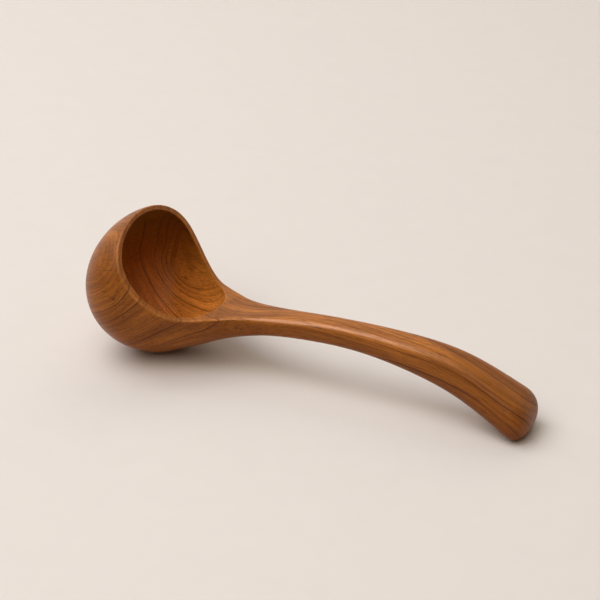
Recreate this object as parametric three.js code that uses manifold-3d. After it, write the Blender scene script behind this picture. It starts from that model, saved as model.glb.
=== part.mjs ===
// A deep wooden serving spoon, carved from one block of hardwood.
// Millimetres, +Z up, +X from the bowl to the butt of the handle, both halves alike about y = 0.
//
// The spoon is drawn as a carver lays it out: a side view, which gives its top line and its under
// line, and a plan, which gives its half width. Every place along the spoon is measured from the
// back of the bowl, with the bowl's own part of it below zero, and every height from the lowest
// point of the bowl before its base is sanded flat.

import * as THREE from 'three';
import { mergeVertices } from 'three/addons/utils/BufferGeometryUtils.js';
import Module from 'manifold-3d';

// Bowl, outside
const BOWL_RADIUS = 40.75; // of its side view, a circle from the lip round the front to the base
const BOWL_WIDTH = 82;
const WIDEST_AHEAD = 12; // the bowl is widest this far ahead of its centre
const BELLY_SLOPE = 0.09; // the widest line of the bowl rises towards the handle
const LIP_ANGLE = 111.3; // degrees round the bowl's centre, from the handle's side up to the lip

// Mouth: its rim falls from the lip to a saddle as a parabola, seen from the side
const SADDLE_PLACE = -16.75;
const SADDLE_HEIGHT = 32.8;
const MOUTH_END_PLACE = -8.25;
const MOUTH_ROUND_PLACE = -18.75; // from here the sides of the mouth close in as a quarter ellipse
const MOUTH_ROUND_LENGTH = 14;

// Walls round the hollow
const LIP_WALL = 2.4;
const FRONT_WALL = 4;
const SIDE_WALL = 3.2;
const BASE_WALL = 6;

// Side view behind the saddle: places and heights
const TOP_LINE = [[1, 33.7], [17, 35.7], [43, 38.9], [73, 40.7], [103, 40.2], [133, 35.5], [163, 20.9]];
const UNDER_LINE = [
  [-29, 4.2], [-19, 8.7], [-9, 13.8], [3, 19.1], [17, 23.5],
  [43, 26.8], [73, 27.2], [103, 23], [133, 13.8], [163, -0.6],
];

// Plan: how far the shoulders lie inside the bowl's widest line, then the handle's half widths
const SHOULDER_INSETS = [[-41, 4.7], [-33, 8.6], [-25, 12.8], [-17, 17.4]];
const HALF_WIDTHS = [
  [-7, 17.9], [5, 12.7], [19, 9.9], [43, 8], [73, 7.5], [103, 8.7], [133, 10.6], [155, 14.5],
];

// Section of the handle: a superellipse that grows out of the bowl's ellipse and loses its flat top
const HANDLE_POWER = 2.8;
const SECTION_START_PLACE = -36;
const NECK_END_PLACE = 17;
const SOFT_START_PLACE = -7;
const SOFT_END_PLACE = 43;
const SOFTNESS = 0.9; // share of the top's width that is rounded off along the handle

// Butt of the handle
const BUTT_PLACE = 155.2;
const BUTT_LENGTH = 15.4;
const BUTT_POWER = 2.56;
const BUTT_DROP = 3.8; // the middle of the end lies this far below the handle's own line

const REST_CUT = 0.4; // sanded off under the bowl and the butt, so that the spoon stands

// Facets
const MOUTH_STATIONS = 34;
const NECK_STATIONS = 8;
const HANDLE_STATIONS = 24;
const BUTT_STATIONS = 9;
const SKIN_STEPS = 14;
const TOP_STEPS = 2;
const HOLLOW_STEPS = 12;
const FIRST_KEEL_PLACE = -19; // the under line's place that faces the end of the mouth
const RIM_LEAD = 5; // the rim's place that faces the end of the mouth lies this far behind it
const RIM_LEAD_POWER = 6; // and the lead is gained over the last stations of the mouth
const LIP_SHARE = 0.3; // over this share of the mouth the rim's outer and inner edges fall level
const SLOPE_STEP = 0.5; // a slope is taken between points this far apart on both sides
const WELD = 1e-3; // points closer than this are one

const WOOD = new THREE.MeshStandardMaterial({ color: 0x96592f, roughness: 0.45, metalness: 0 });

const lerp = THREE.MathUtils.lerp;
const steps = (count) => Array.from({ length: count + 1 }, (_, i) => i / count);
const quarterCircle = (ratio) => Math.sqrt(Math.max(0, 1 - ratio * ratio));
const superQuarter = (ratio, power) => Math.max(0, 1 - Math.min(1, ratio) ** power) ** (1 / power);
const fromBack = ([place, value]) => [BOWL_RADIUS + place, value];
const ease = (x, start, end) => THREE.MathUtils.smoothstep(x, BOWL_RADIUS + start, BOWL_RADIUS + end);

// A cubic spline through points [x, value], level at its start and straight at its end.
function curveThrough(points) {
  const last = points.length - 1;
  const width = (i) => points[i + 1][0] - points[i][0];
  const slope = (i) => (points[i + 1][1] - points[i][1]) / width(i);
  const diagonal = [2 * width(0)];
  const upper = [width(0)];
  const bend = [6 * slope(0)];
  for (let i = 1; i < last; i++) {
    const share = width(i - 1) / diagonal[i - 1];
    diagonal.push(2 * (width(i - 1) + width(i)) - share * upper[i - 1]);
    upper.push(width(i));
    bend.push(6 * (slope(i) - slope(i - 1)) - share * bend[i - 1]);
  }
  bend.push(0);
  for (let i = last - 1; i >= 0; i--) {
    bend[i] = (bend[i] - upper[i] * bend[i + 1]) / diagonal[i];
  }
  return (x) => {
    const found = points.findIndex((point) => point[0] > x);
    const i = found < 0 ? last - 1 : Math.max(0, found - 1);
    const u = x - points[i][0];
    const h = width(i);
    const start = slope(i) - (h * (2 * bend[i] + bend[i + 1])) / 6;
    return points[i][1] + u * (start + u * (bend[i] / 2 + (u * (bend[i + 1] - bend[i])) / (6 * h)));
  };
}

// Side view: the top line is a parabola from the lip to the saddle and a spline behind it,
// the under line is the bowl's circle up to its base and a spline behind it.
const lipTurn = THREE.MathUtils.degToRad(LIP_ANGLE);
const lipX = BOWL_RADIUS * Math.cos(lipTurn);
const lipZ = BOWL_RADIUS * (1 + Math.sin(lipTurn));
const saddleX = BOWL_RADIUS + SADDLE_PLACE;
const sweep = (lipZ - SADDLE_HEIGHT) / (saddleX - lipX) ** 2;
const topSpline = curveThrough([[saddleX, SADDLE_HEIGHT], ...TOP_LINE.map(fromBack)]);
const underSpline = curveThrough([[0, 0], ...UNDER_LINE.map(fromBack)]);
const topLine = (x) => (x < saddleX ? SADDLE_HEIGHT + sweep * (saddleX - x) ** 2 : topSpline(x));
const circleRise = (x) => BOWL_RADIUS * quarterCircle(Math.min(0, x) / BOWL_RADIUS);
const underLine = (x) => (x < 0 ? BOWL_RADIUS - circleRise(x) : underSpline(x));

// Plan: a quarter ellipse from the front of the bowl to its widest place, and a spline behind it.
const widestX = -WIDEST_AHEAD;
const shoulders = SHOULDER_INSETS.map(([place, inset]) => [place, BOWL_WIDTH / 2 - inset]);
const planSpline = curveThrough([[widestX, BOWL_WIDTH / 2], ...[...shoulders, ...HALF_WIDTHS].map(fromBack)]);
const frontWidth = (x, front, half) => half * quarterCircle((widestX - x) / (widestX - front));
const planLine = (x) => (x < widestX ? frontWidth(x, -BOWL_RADIUS, BOWL_WIDTH / 2) : planSpline(x));

// Height of the widest line of a section, and the power of its superellipse.
function bellyLine(x) {
  const bowl = BOWL_RADIUS + BELLY_SLOPE * (x + BOWL_RADIUS);
  return lerp(bowl, (topLine(x) + underLine(x)) / 2, ease(x, SECTION_START_PLACE, NECK_END_PLACE));
}
const sectionPower = (x) => lerp(2, HANDLE_POWER, ease(x, SECTION_START_PLACE, NECK_END_PLACE));
const softness = (x) => SOFTNESS * ease(x, SOFT_START_PLACE, SOFT_END_PLACE);

// Half width of the outside at the point x, z of the side view.
function bodyHalfWidth(x, z) {
  const belly = bellyLine(x);
  const power = sectionPower(x);
  if (z <= belly) return planLine(x) * superQuarter((belly - z) / (belly - underLine(x)), power);
  const bowlSide = quarterCircle(Math.min(1, (z - belly) / (BOWL_RADIUS + circleRise(x) - belly)));
  const handleSide = superQuarter((z - belly) / (topLine(x) - belly), power);
  return planLine(x) * lerp(bowlSide, handleSide, softness(x));
}

// Hollow: in the side view an ellipse behind its centre and a circle ahead of it. The circle keeps
// the front and base walls and passes through the inner edge of the lip.
const lipSlope = -2 * sweep * (saddleX - lipX);
const innerLipX = lipX + LIP_WALL / Math.hypot(1, lipSlope);
const innerFront = -BOWL_RADIUS + FRONT_WALL;
const lipReach = innerLipX - innerFront;
const lipRise = topLine(innerLipX) - BASE_WALL;
const hollowRadius = lipReach + lipRise - Math.sqrt(2 * lipReach * lipRise);
const hollowX = innerFront + hollowRadius;
const hollowZ = BASE_WALL + hollowRadius;
const mouthEndX = BOWL_RADIUS + MOUTH_END_PLACE;
const mouthRoundX = BOWL_RADIUS + MOUTH_ROUND_PLACE;
const mouthEndDrop = (hollowZ - topLine(mouthEndX)) / hollowRadius;
const hollowBack = (mouthEndX - hollowX) / quarterCircle(mouthEndDrop);

// Half width of the hollow at the point x, z of the side view.
function hollowHalfWidth(x, z) {
  const reach = x < hollowX ? hollowRadius : hollowBack;
  const height = hollowRadius * quarterCircle((x - hollowX) / reach);
  const half = BOWL_WIDTH / 2 - SIDE_WALL;
  const closing = quarterCircle(Math.max(0, x - mouthRoundX) / MOUTH_ROUND_LENGTH);
  const width = x < widestX ? frontWidth(x, innerFront, half) : (planLine(x) - SIDE_WALL) * closing;
  return width * quarterCircle(Math.min(1, (z - hollowZ) / Math.max(height, WELD)));
}

// Turn of the point of the hollow's side view that faces the share u of the mouth, and the point.
const innerLipTurn = Math.atan2(topLine(innerLipX) - hollowZ, innerLipX - hollowX);
const mouthEndTurn = 2 * Math.PI - Math.asin(mouthEndDrop);
function hollowFloor(u) {
  const turn = lerp(innerLipTurn, mouthEndTurn, u);
  const reach = Math.cos(turn) < 0 ? hollowRadius : hollowBack;
  return [hollowX + reach * Math.cos(turn), hollowZ + hollowRadius * Math.sin(turn)];
}

// The point of the outer side view that faces the share u of the mouth, by length from the lip.
const firstKeelX = BOWL_RADIUS + FIRST_KEEL_PLACE;
const frontArc = BOWL_RADIUS * (1.5 * Math.PI - lipTurn);
function bowlUnder(u) {
  const run = u * (frontArc + firstKeelX);
  if (run > frontArc) return [run - frontArc, underLine(run - frontArc)];
  const turn = lipTurn + run / BOWL_RADIUS;
  return [BOWL_RADIUS * Math.cos(turn), BOWL_RADIUS * (1 + Math.sin(turn))];
}

// A station is one row of points over the half y >= 0: up the outside from the under line to the
// top edge, across the top to the mouth's edge or the middle, and down the hollow to its floor.
// spread 0 crowds the outside's points at the under line, spread 1 at the top edge as well.
function outside([underX, underZ], edgeX, spread) {
  const edgeZ = topLine(edgeX);
  return steps(SKIN_STEPS).map((t) => {
    const share = lerp(1 - Math.cos((t * Math.PI) / 2), (1 - Math.cos(t * Math.PI)) / 2, spread);
    const x = lerp(underX, edgeX, share);
    const z = lerp(underZ, edgeZ, share);
    return [x, t > 0 ? bodyHalfWidth(x, z) : 0, z];
  });
}

function across([edgeX, edgeY], [innerX, innerY]) {
  return steps(TOP_STEPS).slice(1).map((t) => {
    const x = lerp(edgeX, innerX, t);
    return [x, lerp(edgeY, innerY, t), topLine(x)];
  });
}

function mouthStation(u) {
  const along = (1 - Math.cos(u * Math.PI)) / 2;
  const innerX = lerp(innerLipX, mouthEndX, along);
  const lead = lerp(innerLipX - lipX, 0, THREE.MathUtils.smoothstep(u, 0, LIP_SHARE));
  const edgeX = innerX - lead + RIM_LEAD * u ** RIM_LEAD_POWER;
  const skin = outside(bowlUnder(u), edgeX, 0);
  const inner = [innerX, u > 0 && u < 1 ? hollowHalfWidth(innerX, topLine(innerX)) : 0];
  const floor = hollowFloor(u);
  const hollow = steps(HOLLOW_STEPS).slice(1).map((t) => {
    const share = Math.sin((t * Math.PI) / 2);
    const x = lerp(innerX, floor[0], share);
    const z = lerp(topLine(innerX), floor[1], share);
    return [x, t < 1 ? hollowHalfWidth(x, z) : 0, z];
  });
  return [...skin, ...across(skin[SKIN_STEPS], inner), ...hollow];
}

const solidRow = (skin, top) => [...skin, ...top, ...Array(HOLLOW_STEPS).fill(top[TOP_STEPS - 1])];

const neckEndX = BOWL_RADIUS + NECK_END_PLACE;
function neckStation(t) {
  const underX = lerp(firstKeelX, neckEndX, t);
  const skin = outside([underX, underLine(underX)], lerp(mouthEndX + RIM_LEAD, neckEndX, t), t);
  return solidRow(skin, across(skin[SKIN_STEPS], [lerp(mouthEndX, neckEndX, t), 0]));
}

// A section of the handle between a point of the under line and one of the top line.
function section(under, top, half, power, soft) {
  const skin = steps(SKIN_STEPS).map((t) => {
    const level = -Math.cos(t * Math.PI);
    const round = superQuarter(Math.abs(level), power);
    const share = (1 + level) / 2;
    const y = half * (level < 0 ? round : lerp(1, round, soft));
    return [lerp(under[0], top[0], share), y, lerp(under[1], top[1], share)];
  });
  const edgeY = skin[SKIN_STEPS][1];
  return solidRow(skin, steps(TOP_STEPS).slice(1).map((t) => [top[0], lerp(edgeY, 0, t), top[1]]));
}

// Ends of the section whose middle lies at x: upright up to the handle's crest, square to it after.
function sectionEnds(x) {
  const middle = (at) => (topLine(at) + underLine(at)) / 2;
  const slope = (middle(x + SLOPE_STEP) - middle(x - SLOPE_STEP)) / (2 * SLOPE_STEP);
  const tilt = Math.atan(Math.min(0, slope));
  const shift = (-Math.sin(tilt) * Math.cos(tilt) * (topLine(x) - underLine(x))) / 2;
  return { under: [x - shift, underLine(x - shift)], top: [x + shift, topLine(x + shift)] };
}

const buttX = BOWL_RADIUS + BUTT_PLACE;
function handleStation(t) {
  const x = lerp(neckEndX, buttX, t);
  const { under, top } = sectionEnds(x);
  return section(under, top, planLine(x), sectionPower(x), softness(x));
}

// The butt closes the handle: its sections shrink as a superellipse along a line that bends down.
function buttStation(t) {
  const { under, top } = sectionEnds(buttX);
  const reach = Math.sin((t * Math.PI) / 2);
  const scale = t < 1 ? superQuarter(reach, BUTT_POWER) : 0;
  const ahead = reach * BUTT_LENGTH;
  const drop = reach * reach * BUTT_DROP;
  const height = Math.hypot(top[0] - under[0], top[1] - under[1]);
  const upX = (top[0] - under[0]) / height;
  const upZ = (top[1] - under[1]) / height;
  const centreX = (under[0] + top[0]) / 2 + ahead * upZ - drop * upX;
  const centreZ = (under[1] + top[1]) / 2 - ahead * upX - drop * upZ;
  const rise = (scale * height) / 2;
  const low = [centreX - rise * upX, centreZ - rise * upZ];
  const high = [centreX + rise * upX, centreZ + rise * upZ];
  const flare = (planLine(buttX) - planLine(buttX - SLOPE_STEP)) / SLOPE_STEP;
  const half = scale * (planLine(buttX) + flare * ahead);
  return section(low, high, half, sectionPower(buttX), softness(buttX));
}

const stations = [
  ...steps(MOUTH_STATIONS).map(mouthStation),
  ...steps(NECK_STATIONS).slice(1).map(neckStation),
  ...steps(HANDLE_STATIONS).slice(1).map(handleStation),
  ...steps(BUTT_STATIONS).slice(1).map(buttStation),
];

// Closed skin through the stations and their mirror images, without the triangles that collapse.
function skinThrough(rows) {
  const columns = rows[0].length;
  const points = [1, -1].flatMap((side) => rows.flat().flatMap(([x, y, z]) => [x, side * y, z]));
  const index = [];
  for (const half of [0, 1]) {
    const at = (row, column) => (half * rows.length + row) * columns + column;
    for (let row = 0; row + 1 < rows.length; row++) {
      for (let column = 0; column + 1 < columns; column++) {
        const [a, b] = [at(row, column), at(row + 1, column)];
        const [c, d] = [at(row + 1, column + 1), at(row, column + 1)];
        index.push(...(half ? [a, b, c, a, c, d] : [a, c, b, a, d, c]));
      }
    }
  }
  const geometry = new THREE.BufferGeometry();
  geometry.setAttribute('position', new THREE.Float32BufferAttribute(points, 3));
  geometry.setIndex(index);
  const welded = mergeVertices(geometry, WELD);
  const triangles = [];
  for (let i = 0; i < welded.index.count; i += 3) {
    const [a, b, c] = welded.index.array.slice(i, i + 3);
    if (a !== b && b !== c && c !== a) triangles.push(a, b, c);
  }
  welded.setIndex(triangles);
  return welded;
}

const wasm = await Module();
wasm.setup();

function solidFrom(geometry) {
  const merged = mergeVertices(geometry.deleteAttribute('normal').deleteAttribute('uv'), WELD);
  const vertProperties = new Float32Array(merged.attributes.position.array);
  const triVerts = new Uint32Array(merged.index.array);
  return new wasm.Manifold(new wasm.Mesh({ numProp: 3, vertProperties, triVerts }));
}

function geometryFrom(solid) {
  const mesh = solid.getMesh();
  const geometry = new THREE.BufferGeometry();
  geometry.setAttribute('position', new THREE.Float32BufferAttribute(mesh.vertProperties, 3));
  geometry.setIndex(new THREE.Uint32BufferAttribute(mesh.triVerts, 1));
  return geometry.toNonIndexed();
}

// The carved body, sanded flat where it stands.
const body = skinThrough(stations);
body.computeBoundingBox();
const { min, max } = body.boundingBox;
const sanding = new THREE.BoxGeometry(2 * (max.x - min.x), 2 * BOWL_WIDTH, BOWL_WIDTH);
sanding.translate((min.x + max.x) / 2, 0, REST_CUT - BOWL_WIDTH / 2);
const spoonGeometry = geometryFrom(solidFrom(body).subtract(solidFrom(sanding)));
spoonGeometry.computeVertexNormals();

const spoon = new THREE.Mesh(spoonGeometry, WOOD);
spoon.name = 'spoon';
spoon.position.set(-(min.x + max.x) / 2, 0, -REST_CUT);

const servingSpoon = new THREE.Group();
servingSpoon.add(spoon);

export default servingSpoon;
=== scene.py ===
"""A deep wooden serving spoon, carved from one block of hardwood and finished with oil.

The spoon's skin is one closed surface over a grid of stations, worked out with numpy in millimetres
from the sizes of the solid, with softened rim edges, and then put into the frame in metres.
Places along the spoon are measured from the back of the bowl, x from the bowl's centre, and heights
from the lowest point of the bowl before its base is sanded flat.
"""

import bpy
import numpy as np
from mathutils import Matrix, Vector


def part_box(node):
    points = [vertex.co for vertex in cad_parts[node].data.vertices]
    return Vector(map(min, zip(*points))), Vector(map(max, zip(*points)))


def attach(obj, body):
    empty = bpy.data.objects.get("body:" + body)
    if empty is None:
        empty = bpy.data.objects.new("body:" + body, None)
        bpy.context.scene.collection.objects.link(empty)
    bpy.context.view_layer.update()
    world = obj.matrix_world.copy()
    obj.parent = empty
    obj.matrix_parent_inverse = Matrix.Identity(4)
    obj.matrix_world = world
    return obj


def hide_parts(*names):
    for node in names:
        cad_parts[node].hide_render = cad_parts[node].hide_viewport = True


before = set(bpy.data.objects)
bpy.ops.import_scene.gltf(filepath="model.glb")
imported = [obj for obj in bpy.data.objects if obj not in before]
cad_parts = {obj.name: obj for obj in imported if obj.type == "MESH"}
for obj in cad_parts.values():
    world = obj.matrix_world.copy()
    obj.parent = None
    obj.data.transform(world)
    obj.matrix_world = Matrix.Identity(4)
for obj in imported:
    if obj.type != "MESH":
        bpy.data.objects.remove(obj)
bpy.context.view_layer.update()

# Sizes of the carved body, as in the solid
BOWL_RADIUS = 40.75
BOWL_WIDTH = 82.0
WIDEST_AHEAD = 12.0
BELLY_SLOPE = 0.09
LIP_ANGLE = 111.3
SADDLE_PLACE = -16.75
SADDLE_HEIGHT = 32.8
MOUTH_END_PLACE = -8.25
MOUTH_ROUND_PLACE = -18.75
MOUTH_ROUND_LENGTH = 14.0
LIP_WALL = 2.4
FRONT_WALL = 4.0
SIDE_WALL = 3.2
BASE_WALL = 6.0
TOP_LINE = [(1, 33.7), (17, 35.7), (43, 38.9), (73, 40.7), (103, 40.2), (133, 35.5), (163, 20.9)]
UNDER_LINE = [
    (-29, 4.2), (-19, 8.7), (-9, 13.8), (3, 19.1), (17, 23.5),
    (43, 26.8), (73, 27.2), (103, 23), (133, 13.8), (163, -0.6),
]
SHOULDER_INSETS = [(-41, 4.7), (-33, 8.6), (-25, 12.8), (-17, 17.4)]
HALF_WIDTHS = [
    (-7, 17.9), (5, 12.7), (19, 9.9), (43, 8), (73, 7.5), (103, 8.7), (133, 10.6), (155, 14.5),
]
BOWL_POWER = 2
HANDLE_POWER = 2.8
SECTION_START_PLACE = -36.0
NECK_END_PLACE = 17.0
SOFT_START_PLACE = -7.0
SOFT_END_PLACE = 43.0
SOFTNESS = 0.9
BUTT_PLACE = 155.2
BUTT_LENGTH = 15.4
BUTT_POWER = 2.56
BUTT_DROP = 3.8
REST_CUT = 0.4

# Softened edges of the rim and the neck, which the solid leaves sharp
OUTER_EASE = 0.6
INNER_EASE = 0.35
HANDLE_EASE = 0.05

# Grid of the visible skin
MOUTH_STATIONS = 150
NECK_STATIONS = 34
HANDLE_STATIONS = 110
BUTT_STATIONS = 40
SKIN_STEPS = 56
EDGE_STEPS = 5
BAND_STEPS = 9
HOLLOW_STEPS = 46
FIRST_KEEL_PLACE = -19.0
RIM_LEAD = 5.0
RIM_LEAD_POWER = 6
LIP_SHARE = 0.3
LIP_SHIFT_POWER = 4

# Fine steps and small lengths of the working, and the turn at the bottom of a circle
SLOPE_STEP = 0.5
RING_STEP = 0.05
WELD = 1e-3
LEAST_HEIGHT = 1e-3
SEARCH_STEPS = 4001
OUTER_LIP_SEARCH = 4.0
INNER_LIP_SEARCH = 3.0
MOUTH_END_SEARCH = 2.0
CIRCLE_BOTTOM = 1.5 * np.pi

# Growth rings: directions of their depth, bends on the bowl's outside, knots and pitch
BOWL_DEPTH = (-0.36, -0.65, 0.52)
HOLLOW_DEPTH = (-0.40, -0.92, -0.10)
HANDLE_DEPTH = (0.0, -1.20, -0.95)
DEPTH_TURN_PLACE = -20.0
FRONT_BEND = 0.0071
SIDE_BEND = -0.00265
RING_TWIST = -0.0075
TWIST_HEIGHT = 35.0
KNOTS = [(-8.2, -40.1, 46.8), (-7.2, 32.6, 26.3)]
KNOT_REACH = 3.0
KNOT_LIFT = 0.7
RING_PITCH = 1.4
RING_START = 35.0
PITCH_WAVE = 0.45
PITCH_SWING = 0.6

# Waves of the rings: radians per millimetre along, across and through the grain, start and height
RING_WAVES = [
    ((0.018, 0.080, 0.050), 0.6, 1.8),
    ((-0.030, 0.055, -0.090), 2.1, 1.5),
    ((0.055, -0.130, 0.160), 4.0, 0.8),
    ((0.100, 0.240, -0.120), 1.3, 0.30),
    ((-0.160, 0.300, 0.270), 5.2, 0.15),
]

# Line that the grain follows, and its spread along the handle
HEART_HEIGHT = 27.0
HEART_SLOPE = 0.15
HEART_PLACES = (-20.0, 30.0)
FLARE_WIDTH = 9.0
FLARE_POWER = 0.7

# Wear of the rim and the handle, with painted highlight on the rim's edges and band, and painted light on
# the handle's upward faces and painted highlight on its ridges: amounts, places along it and shares that
# its normals point up or aside
BAND_WEAR_AND_HIGHLIGHT = 0.68
EDGE_WEAR_HIGHLIGHT_SHARES = (0.45, 1.0)
HELD_LOSS = 0.7
HELD_FADE_PLACES = (73.0, 140.0)
GRIP_WEAR = 0.3
GRIP_PLACE = 60.0
TOP_PAINTED_LIGHT = 0.5
TOP_UPWARD = (0.2, 0.9)
RIDGE_HIGHLIGHT = 0.4
RIDGE_UPWARD = (0.78, 0.64)
RIDGE_TURN_PLACES = (50.0, 110.0)
RIDGE_SPREAD = 0.14
RIDGE_ASIDE = (0.25, 0.55)
RIDGE_FADE_PLACES = (95.0, 145.0)

# Bolder and fainter ring lines, and painted shade in the deeper colour towards the butt and under the
# handle
HOLLOW_LINES = 0.12
NECK_LINES = -0.2
HANDLE_LINES = 0.29
HANDLE_LINE_PLACES = (60.0, 120.0)
BUTT_SHADE = 0.4
BUTT_SHADE_PLACES = (105.0, 165.0)
UNDER_SHADE = 0.55
UNDER_SHADE_PLACES = (-30.0, 0.0)
UNDER_DOWNWARD = (-0.45, 0.35)

# Noise in the wood: cells per millimetre along the grain, across it and through the rings
FIBRE_CELLS = (0.10, 1.5, 4.0)
PORE_CELLS = (0.20, 3.0, 5.0)
DASH_CELLS = (0.11, 1.0, 1.5)
STREAK_CELLS = (0.02, 0.12, 2.0)
BAND_CELLS = (0.010, 0.05, 0.42)
BROAD_CELLS = (0.012, 0.05, 0.09)
PATCH_CELLS = (0.03, 0.10, 0.10)

# Values of that noise between which its marks, or a knot's core, come up, and their least shares
FIBRE_RANGE = (0.45, 0.75)
PORE_RANGE = (0.60, 0.72)
DASH_RANGE = (0.56, 0.70)
STREAK_RANGE = (0.38, 0.68)
BAND_RANGE = (0.40, 0.66)
BROAD_RANGE = (0.3, 0.7)
BROAD_LEAST = 0.25
PATCH_RANGE = (0.35, 0.65)
PATCH_LEAST = 0.35
CORE_RANGE = (0.3, 0.6)
CORE_LEAST = 0.5

# Lines of the rings: fibres' pull, least rings per millimetre, and millimetres before a ring's end
LINE_RAGGED = 0.22
LEAST_RATE = 0.05
LINE_GAPS = (1.0, 0.2)
LATE_GAPS = (4.0, 0.0)
BOLD_STRENGTHS = (0.73, 0.93)
FAINT_LINE = 0.12
FAINT_LATE = 0.2
LINE_AMOUNT = 0.92

# Quieter streaks, bands and lines in the hollow
HOLLOW_FIGURE_LOSS = -0.62
HOLLOW_LINE_LOSS = -0.3

# Dark core of a knot, and the heights of the painted light low in the hollow and the painted shade high in
# it, in metres
KNOT_EDGE = 0.0018
KNOT_CORE = 0.0002
KNOT_DARKNESS = 0.75
PAINTED_LIGHT_HEIGHTS = (0.048, 0.013)
SHADED_HEIGHTS = (0.038, 0.066)
SHADED_AMOUNT = 0.9

# Colours of the wood, and of the painted light, painted shade and painted highlight on it
PALE_WOOD = (0.59, 0.193, 0.021, 1.0)
DEEP_WOOD = (0.22, 0.060, 0.006, 1.0)
HOLLOW_WOOD = (0.52, 0.205, 0.025, 1.0)
SHADED_WOOD = (0.20, 0.082, 0.010, 1.0)
DARK_WOOD = (0.05, 0.013, 0.002, 1.0)
WEAR_AND_PAINTED_LIGHT_WOOD = (0.84, 0.305, 0.066, 1.0)
PAINTED_LIGHT_WOOD = (0.98, 0.345, 0.058, 1.0)

# Oil finish
SATIN_ROUGHNESS = 0.27
FIBRE_ROUGHNESS = 0.16
RIDGE_POLISH = -0.06
SATIN_GLOSS = 0.18
RIDGE_GLOSS = 0.45
OIL_IOR = 1.47
BUMP_STRENGTH = 0.3
BUMP_DEPTH = 0.0002
FIBRE_HEIGHT = 0.6
LINE_DEPTH = 0.4

# Board under the spoon and the surround that it fades into
BOARD_HALF = 4.0
BOARD_COLOURS = ((0.81, 0.745, 0.69, 1.0), (0.84, 0.775, 0.72, 1.0))
BOARD_CELLS = (60.0, 60.0, 60.0)
BOARD_ROUGHNESS = 0.9
BOARD_GLOSS = 0.2
FADE_START = 0.8
FADE_END = 1.9
WEAK_SURROUND = (0.070, 0.055, 0.032, 1.0)
SEEN_SURROUND = (0.80, 0.73, 0.665, 1.0)

# Lamps: name, direction as shares to the right, to the back and up, width, power, tint and if mirrored
LAMP_DISTANCE = 2.4
COOL = (0.98, 1.01, 1.07)
WARM = (1.0, 0.945, 0.86)
LAMPS = [
    ("left_lamp", (-0.50, 0.0, 0.87), 2.0, 28.4, COOL, True),
    ("front_lamp", (-0.31, -0.50, 0.81), 2.0, 19.8, WARM, True),
    ("back_left_lamp", (-0.47, 0.47, 0.74), 2.0, 11.8, COOL, True),
    ("back_lamp", (0.2, 0.74, 0.64), 2.0, 12.2, WARM, False),
    ("right_lamp", (0.64, 0.0, 0.77), 2.0, 2.8, WARM, True),
    ("top_lamp", (0.0, -0.1, 1.0), 0.8, 3.8, COOL, True),
]

# Camera
CAMERA_POINT = (398.0, -658.6, 436.1)
CAMERA_AZIMUTH = 25.76
CAMERA_ELEVATION = 27.99
CAMERA_LENS = 96.0
CAMERA_SENSOR = 36.0
CAMERA_NEAR = 0.01


def lerp(a, b, t):
    """a moved to b by the share t."""
    return a + (b - a) * t


def smooth_step(x, start, end):
    """0 before start, 1 after end, and the cubic 3t^2 - 2t^3 between them."""
    t = np.clip((x - start) / (end - start), 0, 1)
    return t * t * (3 - 2 * t)


def ease(x, start, end):
    """The smooth step between two places, which count from the back of the bowl."""
    return smooth_step(x, BOWL_RADIUS + start, BOWL_RADIUS + end)


def crowded(t):
    """Shares from 0 to 1 as t goes, crowded at both ends."""
    return (1 - np.cos(t * np.pi)) / 2


def quarter_circle(ratio):
    """Height of the unit quarter circle above ratio: the root of 1 - ratio^2."""
    return np.sqrt(np.maximum(0, 1 - np.minimum(1, np.abs(ratio)) ** 2))


def super_quarter(ratio, power):
    """Height of the unit superellipse above ratio: (1 - ratio^power)^(1/power)."""
    return np.maximum(0, 1 - np.clip(ratio, 0, 1) ** power) ** (1 / power)


def curve_through(points):
    """A cubic spline through points (x, value), level at its start and straight at its end.

    Its second derivatives at the points solve the usual tridiagonal system.
    """
    x, value = np.array(points, float).T
    width = np.diff(x)
    slope = np.diff(value) / width
    middle = np.r_[2 * width[0], 2 * (width[:-1] + width[1:]), 1]
    matrix = np.diag(middle) + np.diag(width, 1) + np.diag(np.r_[width[:-1], 0], -1)
    bend = np.linalg.solve(matrix, np.r_[6 * slope[0], 6 * np.diff(slope), 0])

    def curve(q):
        i = np.clip(np.searchsorted(x, q, side="right") - 1, 0, len(width) - 1)
        u = q - x[i]
        start = slope[i] - width[i] * (2 * bend[i] + bend[i + 1]) / 6
        return value[i] + u * (start + u * (bend[i] / 2 + u * (bend[i + 1] - bend[i]) / (6 * width[i])))

    return curve


def from_back(points):
    """Points given by places from the back of the bowl, with x from the bowl's centre."""
    return [(BOWL_RADIUS + place, value) for place, value in points]


# Side view and plan
lip_turn = np.radians(LIP_ANGLE)
lip_x = BOWL_RADIUS * np.cos(lip_turn)
lip_z = BOWL_RADIUS * (1 + np.sin(lip_turn))
saddle_x = BOWL_RADIUS + SADDLE_PLACE
sweep = (lip_z - SADDLE_HEIGHT) / (saddle_x - lip_x) ** 2
widest_x = -WIDEST_AHEAD
mouth_end_x = BOWL_RADIUS + MOUTH_END_PLACE
mouth_round_x = BOWL_RADIUS + MOUTH_ROUND_PLACE
first_keel_x = BOWL_RADIUS + FIRST_KEEL_PLACE
neck_end_x = BOWL_RADIUS + NECK_END_PLACE
butt_x = BOWL_RADIUS + BUTT_PLACE
top_spline = curve_through([(saddle_x, SADDLE_HEIGHT)] + from_back(TOP_LINE))
under_spline = curve_through([(0, 0)] + from_back(UNDER_LINE))
shoulders = [(place, BOWL_WIDTH / 2 - inset) for place, inset in SHOULDER_INSETS]
plan_spline = curve_through([(widest_x, BOWL_WIDTH / 2)] + from_back(shoulders + HALF_WIDTHS))


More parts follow.
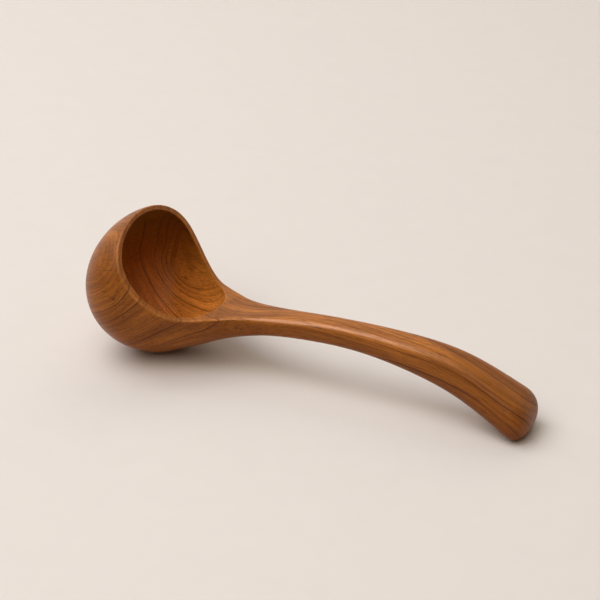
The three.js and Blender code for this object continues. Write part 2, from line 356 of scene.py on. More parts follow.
def top_line(x):
    """Height of the top in the side view: a parabola from the lip to the saddle, a spline behind it."""
    rim = SADDLE_HEIGHT + sweep * (saddle_x - x) ** 2
    return np.where(x < saddle_x, rim, top_spline(np.maximum(x, saddle_x)))


def top_slope(x):
    """Slope of the top line, from two points a small step apart."""
    return (top_line(x + SLOPE_STEP) - top_line(x - SLOPE_STEP)) / (2 * SLOPE_STEP)


def circle_rise(x):
    """Half height of the bowl's circle at x, and its full radius behind its centre."""
    return BOWL_RADIUS * quarter_circle(np.minimum(0, x) / BOWL_RADIUS)


def under_line(x):
    """Height of the underside in the side view: the bowl's circle, then a spline."""
    return np.where(x < 0, BOWL_RADIUS - circle_rise(x), under_spline(np.maximum(x, 0)))


def front_width(x, front, half):
    """Half width ahead of the widest place: a quarter ellipse that closes at the front."""
    return half * quarter_circle((widest_x - np.minimum(x, widest_x)) / (widest_x - front))


def plan_line(x):
    """Half width in plan: a quarter ellipse ahead of the widest place, a spline behind it."""
    bowl = front_width(x, -BOWL_RADIUS, BOWL_WIDTH / 2)
    return np.where(x < widest_x, bowl, plan_spline(np.maximum(x, widest_x)))


def middle_line(x):
    """Height midway between the top and the underside."""
    return (top_line(x) + under_line(x)) / 2


def belly_line(x):
    """Height of the widest line of each section: a rising line in the bowl, midway in the handle."""
    bowl = BOWL_RADIUS + BELLY_SLOPE * (x + BOWL_RADIUS)
    return lerp(bowl, middle_line(x), ease(x, SECTION_START_PLACE, NECK_END_PLACE))


def section_power(x):
    """Power of the section's superellipse, from an ellipse in the bowl to a fuller one in the handle."""
    return lerp(BOWL_POWER, HANDLE_POWER, ease(x, SECTION_START_PLACE, NECK_END_PLACE))


def softness(x):
    """Share of the top's width that is rounded off."""
    return SOFTNESS * ease(x, SOFT_START_PLACE, SOFT_END_PLACE)


def body_half_width(x, z):
    """Half width of the outside at the side view's point x, z: the plan's half width times the height
    of a superellipse below the belly line, and of the bowl's ellipse or the handle's section above it."""
    belly = belly_line(x)
    power = section_power(x)
    below = super_quarter((belly - z) / np.maximum(belly - under_line(x), LEAST_HEIGHT), power)
    bowl_height = np.maximum(BOWL_RADIUS + circle_rise(x) - belly, LEAST_HEIGHT)
    bowl_side = quarter_circle(np.clip((z - belly) / bowl_height, 0, 1))
    handle_side = super_quarter((z - belly) / np.maximum(top_line(x) - belly, LEAST_HEIGHT), power)
    return plan_line(x) * np.where(z <= belly, below, lerp(bowl_side, handle_side, softness(x)))


# Hollow: in the side view a circle through the lip's inner edge, and an ellipse behind its centre
lip_slope = -2 * sweep * (saddle_x - lip_x)
inner_lip_x = lip_x + LIP_WALL / np.hypot(1, lip_slope)
inner_front = -BOWL_RADIUS + FRONT_WALL
lip_reach = inner_lip_x - inner_front
lip_rise = float(top_line(inner_lip_x)) - BASE_WALL
hollow_radius = lip_reach + lip_rise - np.sqrt(2 * lip_reach * lip_rise)
hollow_x = inner_front + hollow_radius
hollow_z = BASE_WALL + hollow_radius
mouth_end_drop = (hollow_z - float(top_line(mouth_end_x))) / hollow_radius
hollow_back = (mouth_end_x - hollow_x) / float(quarter_circle(mouth_end_drop))


def hollow_reach(x):
    """Half length of the hollow's side view, ahead of its centre or behind it."""
    return np.where(x < hollow_x, hollow_radius, hollow_back)


def hollow_half_width(x, z):
    """Half width of the hollow at x, z: the plan less the side walls, closed in at the mouth's end as a
    quarter ellipse, times the height of the hollow's ellipse."""
    height = hollow_radius * quarter_circle((x - hollow_x) / hollow_reach(x))
    closing = quarter_circle(np.maximum(0, x - mouth_round_x) / MOUTH_ROUND_LENGTH)
    front = front_width(x, inner_front, BOWL_WIDTH / 2 - SIDE_WALL)
    width = np.where(x < widest_x, front, (plan_line(x) - SIDE_WALL) * closing)
    return width * quarter_circle(np.clip((z - hollow_z) / np.maximum(height, LEAST_HEIGHT), -1, 1))


def within_bowl(x, z):
    """How far a point of the side view lies within the bowl's circle."""
    return BOWL_RADIUS - np.hypot(x, z - BOWL_RADIUS)


def within_hollow(x, z):
    """How far a point of the side view lies within the hollow, as a share of its size."""
    return 1 - np.hypot((x - hollow_x) / hollow_reach(x), (z - hollow_z) / hollow_radius)


def below_top(x, ease_size):
    """The point of the side view that lies ease_size under the top line, square to it at x."""
    slope = top_slope(x)
    length = np.hypot(1, slope)
    return np.stack([x + ease_size * slope / length, top_line(x) - ease_size / length], -1)


def crossing(start, end, ease_size, within):
    """The x on the way from start, outside, to end, within, whose point ease_size under the top line lies
    on the curve that within measures from, read from a fine table."""
    xs = np.linspace(start, end, SEARCH_STEPS)
    low_x, low_z = below_top(xs, ease_size).T
    return float(np.interp(0, within(low_x, low_z), xs))


def edge_ease(x):
    """Size of the outer edge's rounding: full at the rim, fading where the handle's section is round."""
    return lerp(OUTER_EASE, HANDLE_EASE, softness(x) / SOFTNESS)


def outward(points):
    """Unit directions across a closed edge's points, in the top face and away from the mouth: the
    face's normal crossed with the edge's tangent."""
    tangent = np.gradient(points, axis=0, edge_order=2)
    slope = top_slope(points[:, 0])
    normal = np.stack([-slope, 0 * slope, 1 + 0 * slope], -1)
    across = np.cross(normal, tangent)
    return across / np.linalg.norm(across, axis=1, keepdims=True)


def on_top(points):
    """Points moved upright on to the top face."""
    return np.stack([points[..., 0], points[..., 1], top_line(points[..., 0])], -1)


def rounded(start, corner, end):
    """Columns of a rounded edge after its start: the quadratic Bezier curve start, corner, end."""
    t = np.linspace(0, 1, EDGE_STEPS + 1)[1:, None]
    start, corner, end = start[:, None], corner[:, None], end[:, None]
    return (1 - t) ** 2 * start + 2 * t * (1 - t) * corner + t ** 2 * end


def band_columns(start, end):
    """Columns of the flat band after its start, on straight lines to its end."""
    t = np.linspace(0, 1, BAND_STEPS + 1)[1:, None]
    return lerp(start[:, None], end[:, None], t)


def fan(side_start, side_end, share, half_width):
    """Columns on straight lines of the side view from side_start to side_end, with their half widths."""
    side = lerp(side_start[:, None], side_end[:, None], share[..., None])
    return np.stack([side[..., 0], half_width(side[..., 0], side[..., 1]), side[..., 1]], -1)


def rim_edge(edge_x):
    """Sharp outer edge of the top: the outside's half width at the top line."""
    top = top_line(edge_x)
    return np.stack([edge_x, body_half_width(edge_x, top), top], -1)


def skin_share(spread):
    """How the outside's columns are spread from the under line, 0, to the top edge, 1: crowded at the
    under line, and for spread 1 at the top edge as well."""
    t = np.linspace(0, 1, SKIN_STEPS + 1)
    return lerp(1 - np.cos(t * np.pi / 2), crowded(t), np.asarray(spread)[:, None])


def bowl_columns(u, edge_x):
    """Columns up the outside of the bowl, one row for each station u of the mouth: straight lines of the
    side view from points spaced evenly along the bowl's underside to points under the rim's edge."""
    start_x = crossing(lip_x - OUTER_LIP_SEARCH, lip_x + OUTER_LIP_SEARCH, OUTER_EASE, within_bowl)
    lip_shift = (start_x - lip_x) * (1 - u) ** LIP_SHIFT_POWER
    skin_top = below_top(edge_x + lip_shift, edge_ease(edge_x))
    turn = np.arctan2(skin_top[0, 1] - BOWL_RADIUS, skin_top[0, 0])
    arc = BOWL_RADIUS * (CIRCLE_BOTTOM - turn)
    run = u * (arc + first_keel_x)
    turns = turn + np.minimum(run, arc) / BOWL_RADIUS
    behind = np.maximum(0, run - arc)
    keel_x = np.where(run > arc, behind, BOWL_RADIUS * np.cos(turns))
    keel_z = np.where(run > arc, under_line(behind), BOWL_RADIUS * (1 + np.sin(turns)))
    skin = fan(np.stack([keel_x, keel_z], -1), skin_top, skin_share(0 * u), body_half_width)
    skin[:, 0, 1] = 0
    skin[0, :, 1] = 0
    return skin


def hollow_columns(u):
    """Columns down the hollow, one row for each station u of the mouth: straight lines of the side view
    from points under the mouth's edge to points spaced along the hollow's floor."""
    hollow_start = crossing(inner_lip_x - INNER_LIP_SEARCH, hollow_x, INNER_EASE, within_hollow)
    hollow_end = crossing(mouth_end_x + MOUTH_END_SEARCH, hollow_x, INNER_EASE, within_hollow)
    hollow_top = below_top(lerp(hollow_start, hollow_end, crowded(u)), INNER_EASE)
    first = np.arctan2(hollow_top[0, 1] - hollow_z, hollow_top[0, 0] - hollow_x)
    last = CIRCLE_BOTTOM + np.arccos((hollow_z - hollow_top[-1, 1]) / hollow_radius)
    turns = lerp(first, last, u)
    reach = np.where(np.cos(turns) < 0, hollow_radius, hollow_back)
    floor = np.stack([hollow_x + reach * np.cos(turns), hollow_z + hollow_radius * np.sin(turns)], -1)
    floor[0] = hollow_top[0]
    floor[-1] = hollow_top[-1]
    share = np.sin(np.linspace(0, np.pi / 2, HOLLOW_STEPS + 1))
    hollow = fan(hollow_top, floor, np.tile(share, (len(u), 1)), hollow_half_width)
    hollow[:, -1, 1] = 0
    hollow[[0, -1], :, 1] = 0
    return hollow


def mouth_rows():
    """Stations round the mouth: up the outside, over the rim and down the hollow to its floor."""
    u = np.linspace(0, 1, MOUTH_STATIONS + 1)
    inner_x = lerp(inner_lip_x, mouth_end_x, crowded(u))
    lead = (inner_lip_x - lip_x) * (1 - smooth_step(u, 0, LIP_SHARE))
    edge_x = inner_x - lead + RIM_LEAD * u ** RIM_LEAD_POWER
    skin = bowl_columns(u, edge_x)
    hollow = hollow_columns(u)

    edge = rim_edge(edge_x)
    edge[0, 1] = 0
    inner = np.stack([inner_x, hollow_half_width(inner_x, top_line(inner_x)), top_line(inner_x)], -1)
    inner[[0, -1], 1] = 0
    band_start = on_top(edge - edge_ease(edge_x)[:, None] * outward(edge))
    band_end = on_top(inner + INNER_EASE * outward(inner))
    band_start[0, 1] = 0
    band_end[[0, -1], 1] = 0
    over = rounded(skin[:, -1], edge, band_start)
    band = on_top(band_columns(band_start, band_end))
    into = rounded(band_end, inner, hollow[:, 0])
    return np.concatenate([skin, over, band, into, hollow[:, 1:]], 1)


def neck_rows():
    """Stations of the neck behind the mouth: up the outside, over the edge and across to the middle."""
    t = np.linspace(0, 1, NECK_STATIONS + 1)
    under_x = lerp(first_keel_x, neck_end_x, t)
    edge_x = lerp(mouth_end_x + RIM_LEAD, neck_end_x, t)
    skin_top = below_top(edge_x, edge_ease(edge_x))
    keel = np.stack([under_x, under_line(under_x)], -1)
    skin = fan(keel, skin_top, skin_share(t), body_half_width)
    skin[:, 0, 1] = 0
    edge = rim_edge(edge_x)
    band_start = on_top(edge - edge_ease(edge_x)[:, None] * outward(edge))
    middle_x = lerp(mouth_end_x + INNER_EASE, neck_end_x, t)
    middle = np.stack([middle_x, 0 * t, top_line(middle_x)], -1)
    over = rounded(skin[:, -1], edge, band_start)
    band = on_top(band_columns(band_start, middle))
    return np.concatenate([skin, over, band], 1)[1:]


def section_rows(under, top, half, power, soft, edge_size):
    """Sections between points of the under line and the top line: superellipses whose upper half keeps
    a flat share of 1 - soft, with the edge of that flat rounded."""
    height = np.linalg.norm(top - under, axis=1)
    last = 1 - 2 * np.minimum(1, edge_size / np.maximum(height, LEAST_HEIGHT))
    level = -1 + (last[:, None] + 1) * crowded(np.linspace(0, 1, SKIN_STEPS + 1))
    round_part = super_quarter(np.abs(level), power[:, None])
    wide = np.where(level < 0, round_part, lerp(1, round_part, soft[:, None])) * half[:, None]
    side = lerp(under[:, None], top[:, None], (level[..., None] + 1) / 2)
    skin = np.stack([side[..., 0], wide, side[..., 1]], -1)
    skin[:, 0, 1] = 0
    flat = half * (1 - soft)
    edge = np.stack([top[:, 0], flat, top[:, 1]], -1)
    band_start = np.stack([top[:, 0], np.maximum(0, flat - edge_size), top[:, 1]], -1)
    middle = np.stack([top[:, 0], 0 * flat, top[:, 1]], -1)
    over = rounded(skin[:, -1], edge, band_start)
    return np.concatenate([skin, over, band_columns(band_start, middle)], 1)


def section_ends(x):
    """Ends of the section whose middle lies at x: upright up to the handle's crest, square to it after."""
    slope = (middle_line(x + SLOPE_STEP) - middle_line(x - SLOPE_STEP)) / (2 * SLOPE_STEP)
    tilt = np.arctan(np.minimum(0, slope))
    shift = -np.sin(tilt) * np.cos(tilt) * (top_line(x) - under_line(x)) / 2
    under = np.stack([x - shift, under_line(x - shift)], -1)
    top = np.stack([x + shift, top_line(x + shift)], -1)
    return under, top


def handle_rows():
    """Sections along the handle, from the neck to the butt."""
    x = np.linspace(neck_end_x, butt_x, HANDLE_STATIONS + 1)[1:]
    under, top = section_ends(x)
    return section_rows(under, top, plan_line(x), section_power(x), softness(x), edge_ease(x))


def butt_rows():
    """Sections of the butt, which shrink as a superellipse along a line that bends down."""
    t = np.linspace(0, 1, BUTT_STATIONS + 1)[1:]
    reach = np.sin(t * np.pi / 2)
    scale = super_quarter(reach, BUTT_POWER)
    scale[-1] = 0
    here = np.full_like(t, butt_x)
    under, top = section_ends(here)
    up = top - under
    height = np.linalg.norm(up, axis=1, keepdims=True)
    up = up / height
    ahead = np.stack([up[:, 1], -up[:, 0]], -1)
    stretch = BUTT_LENGTH * reach[:, None] * ahead
    drop = BUTT_DROP * reach[:, None] ** 2 * up
    centre = (under + top) / 2 + stretch - drop
    rise = scale[:, None] * height / 2 * up
    flare = (plan_line(here) - plan_line(here - SLOPE_STEP)) / SLOPE_STEP
    half = scale * (plan_line(here) + flare * BUTT_LENGTH * reach)
    edge_size = HANDLE_EASE * scale
    return section_rows(centre - rise, centre + rise, half, section_power(here), softness(here), edge_size)


def grid_quads(rows, columns, first):
    """Corner numbers of the cells of a grid whose points are numbered row by row from first."""
    number = first + np.arange(rows * columns).reshape(rows, columns)
    cells = [number[:-1, :-1], number[:-1, 1:], number[1:, 1:], number[1:, :-1]]
    return np.stack(cells, -1).reshape(-1, 4)


def spoon_skin():
    """Points in millimetres, triangles, edge shares and hollow shares of the whole skin.

    The skin is the stations and their mirror image, with equal points made one and collapsed triangles
    dropped. The edge share is 1 on the rounded edges of the rim, less on the band between them, and
    fades where the handle is round. The hollow share is 1 inside and 0 elsewhere."""
    mouth = mouth_rows()
    short = SKIN_STEPS + EDGE_STEPS + BAND_STEPS + 1
    rest = np.concatenate([mouth[-1:, :short], neck_rows(), handle_rows(), butt_rows()])
    points = np.concatenate([mouth.reshape(-1, 3), rest.reshape(-1, 3)])
    column = np.arange(mouth.shape[1]) - SKIN_STEPS
    outer = (column >= 0) & (column <= EDGE_STEPS)
    inner = (column >= EDGE_STEPS + BAND_STEPS) & (column <= 2 * EDGE_STEPS + BAND_STEPS)
    band = (column > EDGE_STEPS) & (column < EDGE_STEPS + BAND_STEPS)
    # Shares of wear and painted highlight on the rim's rounded edges and band
    mouth_edge = np.tile(1.0 * (outer | inner) + BAND_WEAR_AND_HIGHLIGHT * band, (len(mouth), 1))
    rest_edge = outer[:short] * (1 - softness(rest[..., 0]) / SOFTNESS)
    mouth_inside = np.tile(1.0 * (column >= 2 * EDGE_STEPS + BAND_STEPS), (len(mouth), 1))
    edge = np.concatenate([mouth_edge.ravel(), rest_edge.ravel()])
    inside = np.concatenate([mouth_inside.ravel(), 0 * rest_edge.ravel()])
    quads = np.concatenate([
        grid_quads(mouth.shape[0], mouth.shape[1], 0),
        grid_quads(rest.shape[0], rest.shape[1], mouth.shape[0] * mouth.shape[1]),
    ])
    both = np.concatenate([points, points * (1, -1, 1)])
    all_quads = np.concatenate([quads, quads[:, ::-1] + len(points)])
    triangles = np.concatenate([all_quads[:, [0, 1, 2]], all_quads[:, [0, 2, 3]]])
    keys = np.round(both / WELD).astype(np.int64)
    _, chosen, number = np.unique(keys, axis=0, return_index=True, return_inverse=True)
    triangles = number.reshape(-1)[triangles]
    a, b, c = triangles.T
    whole = (a != b) & (b != c) & (c != a)
    return both[chosen], triangles[whole], np.tile(edge, 2)[chosen], np.tile(inside, 2)[chosen]


def grain_space(points, inside):
    """Place of each point in the wood, in millimetres: along the grain, across it, and deep through the
    growth rings. The grain follows the middle line of the handle and spreads with its width, and the
    direction of depth turns from the bowl's to the handle's, with its own direction in the hollow. Waves
    bend the rings, and every knot lifts them by a Gaussian of the distance to it."""
    x, y, z = points.T
    past_bowl = ease(x, DEPTH_TURN_PLACE, SOFT_END_PLACE)
    bowl_heart = HEART_HEIGHT + HEART_SLOPE * (x - BOWL_RADIUS)
    heart = lerp(bowl_heart, middle_line(np.maximum(x, saddle_x)), ease(x, *HEART_PLACES))
    flare = (FLARE_WIDTH / plan_line(np.clip(x, neck_end_x, butt_x))) ** FLARE_POWER
    side = y * lerp(1, flare, past_bowl)
    rise = z - heart
    to_handle = past_bowl * (1 - inside)
    bowl_depth = [lerp(a, b, inside) for a, b in zip(BOWL_DEPTH, HOLLOW_DEPTH)]
    depth_x, depth_y, depth_z = (lerp(a, b, to_handle) for a, b in zip(bowl_depth, HANDLE_DEPTH))
    bends = FRONT_BEND * np.minimum(0, x) ** 2 + SIDE_BEND * y ** 2 + RING_TWIST * y * (z - TWIST_HEIGHT)
    depth = depth_x * x + depth_y * side + depth_z * rise + (1 - to_handle) * (1 - inside) * bends
    across = depth_z * side - depth_y * rise
    bent = depth
    for (turn_along, turn_across, turn_deep), start, height in RING_WAVES:
        bent = bent + height * np.sin(turn_along * x + turn_across * across + turn_deep * depth + start)
    for knot in KNOTS:
        away = np.sum((points - knot) ** 2, 1)
        bent = bent + KNOT_LIFT * np.exp(-away / (2 * KNOT_REACH ** 2))
    return np.stack([x, across, bent], -1)


def ring_count(points, inside):
    """Number of growth rings passed at each point: depth over pitch, with a sine that crowds some."""
    depth = grain_space(points, inside)[:, 2]
    return RING_START + depth / RING_PITCH + PITCH_SWING * np.sin(PITCH_WAVE * depth)


def ring_rate(points, normals, inside):
    """Rings per millimetre along the surface: the part of the ring count's slope square to the normal."""
    steps = np.eye(3) * RING_STEP
    ahead = np.stack([ring_count(points + step, inside) for step in steps], -1)
    behind = np.stack([ring_count(points - step, inside) for step in steps], -1)
    slope = (ahead - behind) / (2 * RING_STEP)
    return np.linalg.norm(slope - np.sum(slope * normals, 1, keepdims=True) * normals, axis=1)


def upward_share(points, normals):
    """How much each normal points up, measured square to the handle's top line."""
    slope = top_slope(np.clip(points[:, 0], mouth_end_x, butt_x))
    return (normals[:, 2] - slope * normals[:, 0]) / np.hypot(1, slope)


def past_neck(points):
    """0 at the mouth, 1 from the end of the neck on."""
    return ease(points[:, 0], MOUTH_END_PLACE, NECK_END_PLACE)


def handle_wear_and_light(points, normals):
    """Share of wear where the handle is held, with painted light on its upward faces and a painted
    highlight on the ridges along its top, and the share of those ridges.

    The ridges are where the normals point about as far up as RIDGE_UPWARD says, on both sides."""
    place = points[:, 0]
    up = upward_share(points, normals)
    held = past_neck(points) * (1 - HELD_LOSS * ease(place, *HELD_FADE_PLACES))
    # Painted highlight along the ridges, which the shader also makes glossier
    ridge_up = lerp(*RIDGE_UPWARD, ease(place, *RIDGE_TURN_PLACES))
    polish_and_painted_highlight = held * np.exp(-((up - ridge_up) / RIDGE_SPREAD) ** 2)
    polish_and_painted_highlight = polish_and_painted_highlight * smooth_step(np.abs(normals[:, 1]), *RIDGE_ASIDE)
    polish_and_painted_highlight = polish_and_painted_highlight * (1 - ease(place, *RIDGE_FADE_PLACES))
    grip = held * ease(place, NECK_END_PLACE, GRIP_PLACE)
    # Painted light: paler where the handle's faces point up
    top = held * smooth_step(up, *TOP_UPWARD)
    return GRIP_WEAR * grip + TOP_PAINTED_LIGHT * top + RIDGE_HIGHLIGHT * polish_and_painted_highlight, polish_and_painted_highlight


def line_weights(points, inside):
    """How much bolder the rings' lines are: more in the hollow and far along the handle, less between."""
    far = ease(points[:, 0], *HANDLE_LINE_PLACES)
    return HOLLOW_LINES * inside + NECK_LINES * past_neck(points) + HANDLE_LINES * far


def painted_shade_share(points, normals):
    """Share of painted shade, in the deeper colour, towards the butt and under the neck and the handle."""
    place = points[:, 0]
    under = ease(place, *UNDER_SHADE_PLACES) * smooth_step(-upward_share(points, normals), *UNDER_DOWNWARD)
    return BUTT_SHADE * ease(place, *BUTT_SHADE_PLACES) + UNDER_SHADE * under


box_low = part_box("spoon")[0]
CENTRE_SHIFT = box_low.x * 1000 + BOWL_RADIUS


def to_frame(points):
    """Millimetres about the bowl's centre made metres in the frame."""
    return (np.asarray(points, float) + (CENTRE_SHIFT, 0, -REST_CUT)) / 1000


def mesh_object(name, points, triangles):
    """A smooth-shaded mesh object from arrays of points in metres and triangles."""
    mesh = bpy.data.meshes.new(name)
    mesh.vertices.add(len(points))
    mesh.vertices.foreach_set("co", points.astype(np.float32).ravel())
    mesh.loops.add(triangles.size)
    mesh.loops.foreach_set("vertex_index", triangles.astype(np.int32).ravel())
    mesh.polygons.add(len(triangles))
    mesh.polygons.foreach_set("loop_start", np.arange(0, triangles.size, 3, dtype=np.int32))
    mesh.update(calc_edges=True)
    mesh.polygons.foreach_set("use_smooth", np.ones(len(triangles), bool))
    mesh.validate()
    made = bpy.data.objects.new(name, mesh)
    bpy.context.scene.collection.objects.link(made)
    return made


def point_normals(mesh):
    """Normals of the mesh's points."""
    normals = np.empty(3 * len(mesh.vertices), np.float32)
    mesh.vertices.foreach_get("normal", normals)
    return normals.reshape(-1, 3)


def store(mesh, name, values):
    """Keeps a number or three for each of the mesh's points, in an attribute of that name."""
    kind, field = ("FLOAT", "value") if values.ndim == 1 else ("FLOAT_VECTOR", "vector")
    attribute = mesh.attributes.new(name, kind, "POINT")
    attribute.data.foreach_set(field, values.astype(np.float32).ravel())


class Nodes:
    """The node tree of a material or a world, with short calls for the nodes that are used here."""

    def __init__(self, owner):
        self.owner = owner
        owner.use_nodes = True
        self.tree = owner.node_tree
        self.tree.nodes.clear()

    def add(self, kind, inputs=(), **settings):
        """A node with its settings. Inputs map socket names or numbers to values or sockets."""
        node = self.tree.nodes.new(kind)
        for key, value in settings.items():
            setattr(node, key, value)
        for key, value in dict(inputs).items():
            if isinstance(value, bpy.types.NodeSocket):
                self.tree.links.new(value, node.inputs[key])
            else:
                node.inputs[key].default_value = value
        return node

    def attribute(self, name, output):
        """An attribute of the mesh's points."""
        return self.add("ShaderNodeAttribute", attribute_name=name).outputs[output]

    def split(self, vector):
        """The three numbers of a vector."""
        return self.add("ShaderNodeSeparateXYZ", {0: vector}).outputs

    def math(self, operation, a, b=0.0, c=0.0):
        """Result of a Math node."""
        return self.add("ShaderNodeMath", {0: a, 1: b, 2: c}, operation=operation).outputs[0]

    def times(self, a, b):
        """a times b."""
        return self.math("MULTIPLY", a, b)

    def noise(self, vector, cells, detail, roughness=0.5):
        """Noise from 0 to 1 on vector times cells."""
        scaled = self.add("ShaderNodeVectorMath", {0: vector, 1: cells}, operation="MULTIPLY").outputs[0]
        sockets = {"Vector": scaled, "Scale": 1.0, "Detail": detail, "Roughness": roughness}
        return self.add("ShaderNodeTexNoise", sockets).outputs[0]

    def ramp(self, value, low, high, start=0.0, end=1.0):
        """value carried smoothly from low..high to start..end."""
        sockets = {"Value": value, "From Min": low, "From Max": high, "To Min": start, "To Max": end}
        return self.add("ShaderNodeMapRange", sockets, interpolation_type="SMOOTHSTEP").outputs[0]

    def blend(self, share, first, second):
        """Colour first mixed with second by share."""
        return self.add("ShaderNodeMix", {0: share, 6: first, 7: second}, data_type="RGBA").outputs[2]


def oiled_wood():
    """Warm brown hardwood under a satin oil finish.

    Every growth ring darkens slowly and ends in a thin dark line, whose strength is the ring's own.
    Fibres, pores, dashes, streaks and bands are noise drawn out along the grain. Painted light makes the
    wood paler low in the hollow and on the handle's upward faces, and a painted highlight paler on the
    handle's ridges; wear, partly painted highlight, makes it paler on the rim's edges and where the handle
    is held. Painted shade makes it deeper high in the hollow, towards the butt and under the handle."""
    n = Nodes(bpy.data.materials.new("oiled_wood"))
    grain = n.attribute("grain", "Vector")
    count, rate, line_weight = n.split(n.attribute("rings", "Vector"))
    edge, wear_and_painted_light, polish_and_painted_highlight = n.split(n.attribute("wear_and_light", "Vector"))
    inside = n.attribute("inside", "Fac")
    painted_shade = n.attribute("painted_shade", "Fac")
    place = n.add("ShaderNodeTexCoord").outputs["Object"]
    upright = n.split(place)[2]
    core = 0.0
    for knot in to_frame(KNOTS):
        from_knot = n.add("ShaderNodeVectorMath", {0: place, 1: tuple(knot)}, operation="DISTANCE")
        away = from_knot.outputs["Value"]
        core = n.math("ADD", n.ramp(away, KNOT_EDGE, KNOT_CORE, 0.0, KNOT_DARKNESS), core)

    fibres = n.noise(grain, FIBRE_CELLS, detail=3.0, roughness=0.6)
    pores = n.ramp(n.noise(grain, PORE_CELLS, detail=1.0), *PORE_RANGE)
    dashes = n.ramp(n.noise(grain, DASH_CELLS, detail=2.0), *DASH_RANGE)
    streaks = n.ramp(n.noise(grain, STREAK_CELLS, detail=3.0, roughness=0.65), *STREAK_RANGE)
    bands = n.ramp(n.noise(grain, BAND_CELLS, detail=3.0, roughness=0.6), *BAND_RANGE)
    broad = n.ramp(n.noise(grain, BROAD_CELLS, detail=2.0), *BROAD_RANGE, BROAD_LEAST)
    patchy = n.ramp(n.noise(grain, PATCH_CELLS, detail=1.0), *PATCH_RANGE, PATCH_LEAST)
    # Rim edges paler: partly wear, partly painted highlight
    edge_wear_and_highlight = n.times(n.ramp(edge, *EDGE_WEAR_HIGHLIGHT_SHARES), patchy)

    ragged = n.math("MULTIPLY_ADD", n.math("SUBTRACT", fibres, 0.5), LINE_RAGGED, count)
    ring = n.math("FLOOR", ragged)
    strength = n.add("ShaderNodeTexWhiteNoise", {"W": ring}, noise_dimensions="1D").outputs["Value"]
    bold = n.ramp(n.math("ADD", strength, line_weight), *BOLD_STRENGTHS)
    left = n.math("SUBTRACT", 1.0, n.math("FRACT", ragged))
    gap = n.math("DIVIDE", left, n.math("MAXIMUM", rate, LEAST_RATE))
    line_strength = n.times(patchy, n.math("MULTIPLY_ADD", bold, 1 - FAINT_LINE, FAINT_LINE))
    line = n.times(n.ramp(gap, *LINE_GAPS), line_strength)
    late = n.times(n.ramp(gap, *LATE_GAPS), n.math("MULTIPLY_ADD", bold, 1 - FAINT_LATE, FAINT_LATE))
    mark = n.math("MAXIMUM", line, n.times(core, n.ramp(fibres, *CORE_RANGE, CORE_LEAST)))

    figure = n.math("MULTIPLY_ADD", inside, HOLLOW_FIGURE_LOSS, 1.0)
    line_share = n.math("MULTIPLY_ADD", inside, HOLLOW_LINE_LOSS, LINE_AMOUNT)
    # Layers over the ground colour: share, amount and colour
    layers = [
        (inside, 0.75, HOLLOW_WOOD),
        # Painted light: paler wood low in the hollow
        (inside, n.ramp(upright, *PAINTED_LIGHT_HEIGHTS), PAINTED_LIGHT_WOOD),
        # Painted shade: deeper wood high in the hollow
        (inside, n.ramp(upright, *SHADED_HEIGHTS, 0.0, SHADED_AMOUNT), SHADED_WOOD),
        # Wear where the handle is held, painted light on its upward faces and painted highlight on its
        # ridges
        (wear_and_painted_light, 0.82, WEAR_AND_PAINTED_LIGHT_WOOD),
        # Painted shade towards the butt and under the neck and the handle
        (painted_shade, 1.0, DEEP_WOOD),
        (n.times(streaks, 0.75), figure, DEEP_WOOD),
        (n.times(late, 0.55), figure, DEEP_WOOD),
        (n.times(bands, 0.75), figure, DEEP_WOOD),
        # Wear and painted highlight on the rim's edges and band
        (edge_wear_and_highlight, 0.5, WEAR_AND_PAINTED_LIGHT_WOOD),
        # Painted highlight on the handle's ridges
        (polish_and_painted_highlight, 0.56, WEAR_AND_PAINTED_LIGHT_WOOD),
        (n.ramp(fibres, *FIBRE_RANGE), 0.5, DARK_WOOD),
        (dashes, 0.46, DARK_WOOD),
        (pores, 0.35, DARK_WOOD),
        (mark, line_share, DARK_WOOD),
    ]
    base = n.blend(broad, DEEP_WOOD, PALE_WOOD)
    for share, amount, colour in layers:
        base = n.blend(n.times(share, amount), base, colour)

    satin = n.math("MULTIPLY_ADD", fibres, FIBRE_ROUGHNESS, SATIN_ROUGHNESS)
    rough = n.math("MULTIPLY_ADD", polish_and_painted_highlight, RIDGE_POLISH, satin)
    gloss = n.math("MULTIPLY_ADD", polish_and_painted_highlight, RIDGE_GLOSS, SATIN_GLOSS)
    sunk = n.math("MULTIPLY_ADD", line, LINE_DEPTH, pores)
    height = n.math("SUBTRACT", n.times(fibres, FIBRE_HEIGHT), sunk)
    bump = n.add("ShaderNodeBump", {"Height": height, "Strength": BUMP_STRENGTH, "Distance": BUMP_DEPTH})
    shader = n.add("ShaderNodeBsdfPrincipled", {
        "Base Color": base,
        "Roughness": rough,
        "Normal": bump.outputs[0],
        "IOR": OIL_IOR,
        "Specular IOR Level": gloss,
    })
    n.add("ShaderNodeOutputMaterial", {0: shader.outputs[0]})
    return n.owner


def pale_board():
    """Pale warm matt board with a faint mottle, which fades into the surround away from the spoon."""
    n = Nodes(bpy.data.materials.new("pale_board"))
    place = n.add("ShaderNodeTexCoord").outputs["Object"]
    mottle = n.noise(place, BOARD_CELLS, detail=4.0, roughness=0.6)
    shader = n.add("ShaderNodeBsdfPrincipled", {
        "Base Color": n.blend(mottle, *BOARD_COLOURS),
        "Roughness": BOARD_ROUGHNESS,
        "Specular IOR Level": BOARD_GLOSS,
    })
    away = n.add("ShaderNodeVectorMath", {0: place}, operation="LENGTH").outputs["Value"]
    faded = n.ramp(away, FADE_START, FADE_END)
    clear = n.add("ShaderNodeBsdfTransparent").outputs[0]
    mixed = n.add("ShaderNodeMixShader", {0: faded, 1: shader.outputs[0], 2: clear})
    n.add("ShaderNodeOutputMaterial", {0: mixed.outputs[0]})
    return n.owner


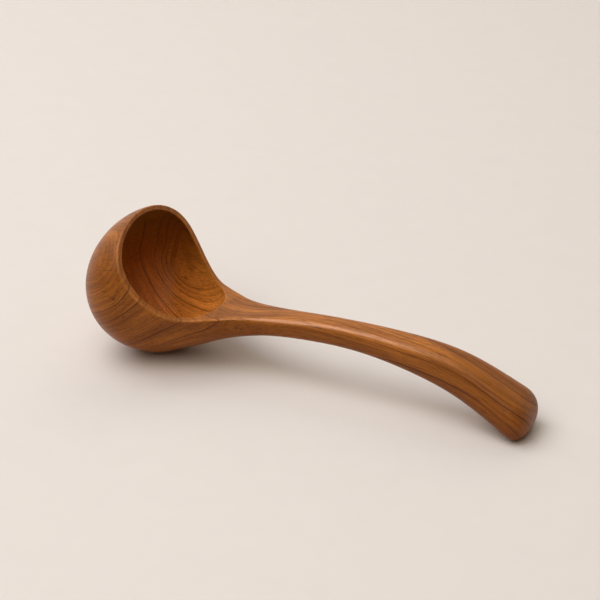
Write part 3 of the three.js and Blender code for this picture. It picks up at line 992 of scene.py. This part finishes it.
def studio():
    """A weak warm surround, which the camera and glossy surfaces see in the board's own pale colour."""
    n = Nodes(bpy.data.worlds.new("studio"))
    rays = n.add("ShaderNodeLightPath").outputs
    mirrored = n.math("MAXIMUM", rays["Is Glossy Ray"], rays["Is Transmission Ray"])
    seen = n.math("MAXIMUM", rays["Is Camera Ray"], mirrored)
    colour = n.blend(seen, WEAK_SURROUND, SEEN_SURROUND)
    n.add("ShaderNodeOutputWorld", {0: n.add("ShaderNodeBackground", {"Color": colour}).outputs[0]})
    return n.owner


# The spoon
points, triangles, edge, inside = spoon_skin()
in_frame = to_frame(points)
in_frame[:, 2] = np.maximum(in_frame[:, 2], 0)
spoon = mesh_object("spoon_carved", in_frame, triangles)
normals = point_normals(spoon.data)
wear_and_painted_light, polish_and_painted_highlight = handle_wear_and_light(points, normals)
rings = [ring_count(points, inside), ring_rate(points, normals, inside), line_weights(points, inside)]
store(spoon.data, "grain", grain_space(points, inside))
store(spoon.data, "rings", np.stack(rings, -1))
# Edge wear with painted highlight, handle wear with painted light, and the ridges' painted highlight
store(spoon.data, "wear_and_light", np.stack([edge, wear_and_painted_light, polish_and_painted_highlight], -1))
store(spoon.data, "inside", inside)
# Painted shade towards the butt and under the neck and the handle
store(spoon.data, "painted_shade", painted_shade_share(points, normals))
spoon.data.materials.append(oiled_wood())
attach(spoon, "root")
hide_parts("spoon")

# Floor
corners = np.array([(-1, -1, 0), (1, -1, 0), (1, 1, 0), (-1, 1, 0)]) * BOARD_HALF
board = mesh_object("board", corners, np.array([(0, 1, 2), (0, 2, 3)]))
board.data.materials.append(pale_board())

# Light: six soft lamps, slightly cool or warm, and the weak surround
view_turn = np.radians(CAMERA_AZIMUTH)
view_rise = np.radians(CAMERA_ELEVATION)
to_right = np.array((np.cos(view_turn), np.sin(view_turn), 0))
to_back = np.array((-np.sin(view_turn), np.cos(view_turn), 0))
upward = np.array((0, 0, 1.0))


def soft_lamp(name, shares, size, power, tint, mirrored):
    """A square area lamp that faces the spoon's middle, from a direction given as shares to the right,
    to the back and up. Glossy surfaces show it only if it is mirrored."""
    lamp = bpy.data.lights.new(name, "AREA")
    lamp.size = size
    lamp.energy = power
    lamp.color = tint
    made = bpy.data.objects.new(name, lamp)
    right, back, up = shares
    away = Vector(right * to_right + back * to_back + up * upward).normalized()
    made.location = away * LAMP_DISTANCE
    made.rotation_mode = "QUATERNION"
    made.rotation_quaternion = (-away).to_track_quat("-Z", "Y")
    made.visible_glossy = mirrored
    bpy.context.scene.collection.objects.link(made)


for row in LAMPS:
    soft_lamp(*row)
bpy.context.scene.world = studio()
bpy.context.scene.view_settings.view_transform = "Standard"

# Camera
camera = bpy.data.objects.new("camera", bpy.data.cameras.new("camera"))
camera.data.lens = CAMERA_LENS
camera.data.sensor_width = CAMERA_SENSOR
camera.data.clip_start = CAMERA_NEAR
camera.location = Vector(to_frame(CAMERA_POINT))
ahead = to_back * np.cos(view_rise) - upward * np.sin(view_rise)
camera.rotation_mode = "QUATERNION"
camera.rotation_quaternion = Vector(ahead).to_track_quat("-Z", "Y")
bpy.context.scene.collection.objects.link(camera)
bpy.context.scene.camera = camera
